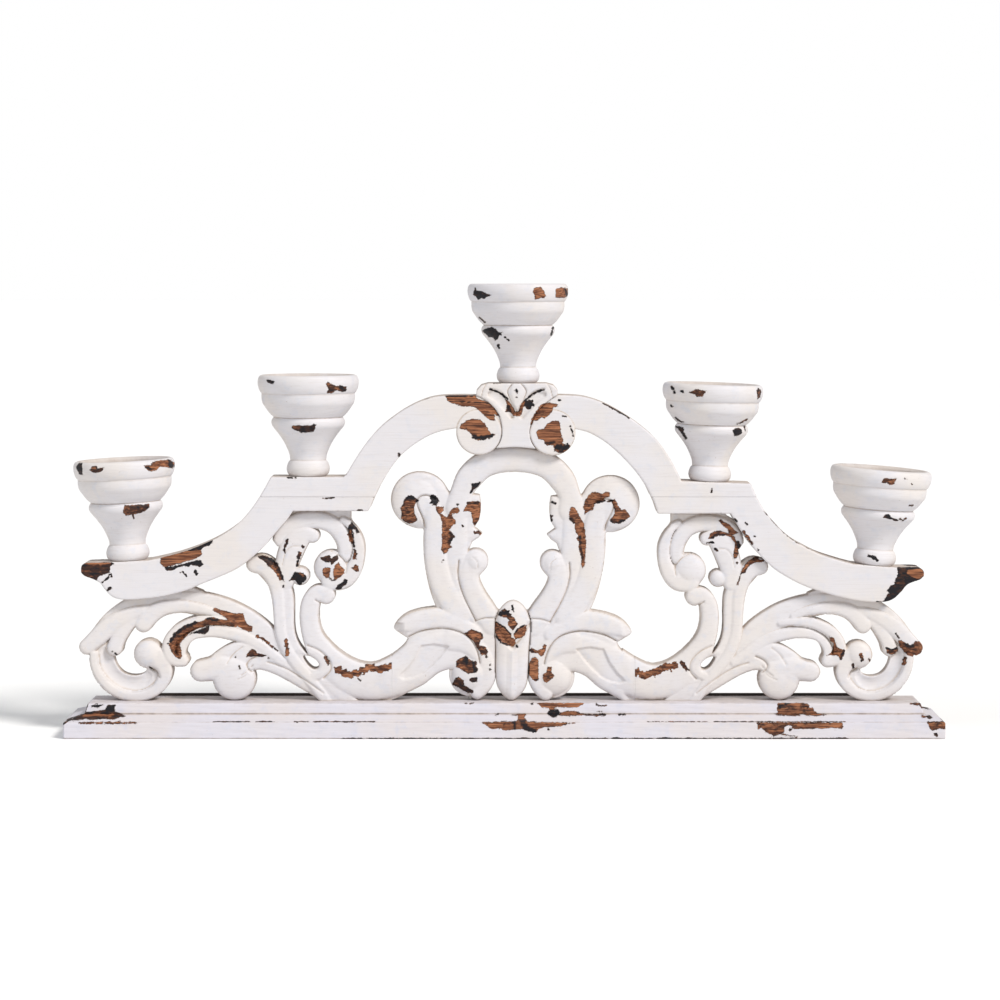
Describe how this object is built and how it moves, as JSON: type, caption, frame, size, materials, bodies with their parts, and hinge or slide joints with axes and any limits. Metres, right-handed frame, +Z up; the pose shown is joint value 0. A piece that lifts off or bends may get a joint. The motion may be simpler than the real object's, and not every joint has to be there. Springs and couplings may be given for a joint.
{
  "type": "wooden candlestick",
  "caption": "Carved, painted wooden candelabra: moulded plinth, pierced scrollwork with a central lyre, stepped arched rail and a row of turned cups for pillar candles",
  "frame": {"origin": "centre of the bounding box in plan, on the plinth's underside", "axes": "+X along the plinth to the viewer's right, +Y from the front face to the back, +Z up"},
  "size_m": [0.868, 0.101, 0.448],
  "materials": {
    "paint": "off-white milk paint, worn through to brown wood and dark primer in patches",
    "dark_wood": "dark stained",
    "dowel_wood": "bare beech",
    "steel": "zinc plated"
  },
  "bodies": {
    "root": {"base_lower_board": "paint", "base_upper_board": "paint", "rear_batten": "dark_wood", "scroll_panel_left": "paint", "scroll_panel_right": "paint", "lyre_panel": "paint", "crest_leaf": "paint", "arm_board_left": "paint", "arm_board_right": "paint", "arch_board_left": "paint", "arch_board_right": "paint", "keystone": "paint", "candle_cup_1": "paint", "candle_cup_2": "paint", "candle_cup_3": "paint", "candle_cup_4": "paint", "candle_cup_5": "paint", "cup_screws": "steel", "rail_dowels": "dowel_wood", "arch_dowels": "dowel_wood", "scroll_dowels": "dowel_wood", "base_screws": "steel"}
  },
  "joints": []
}
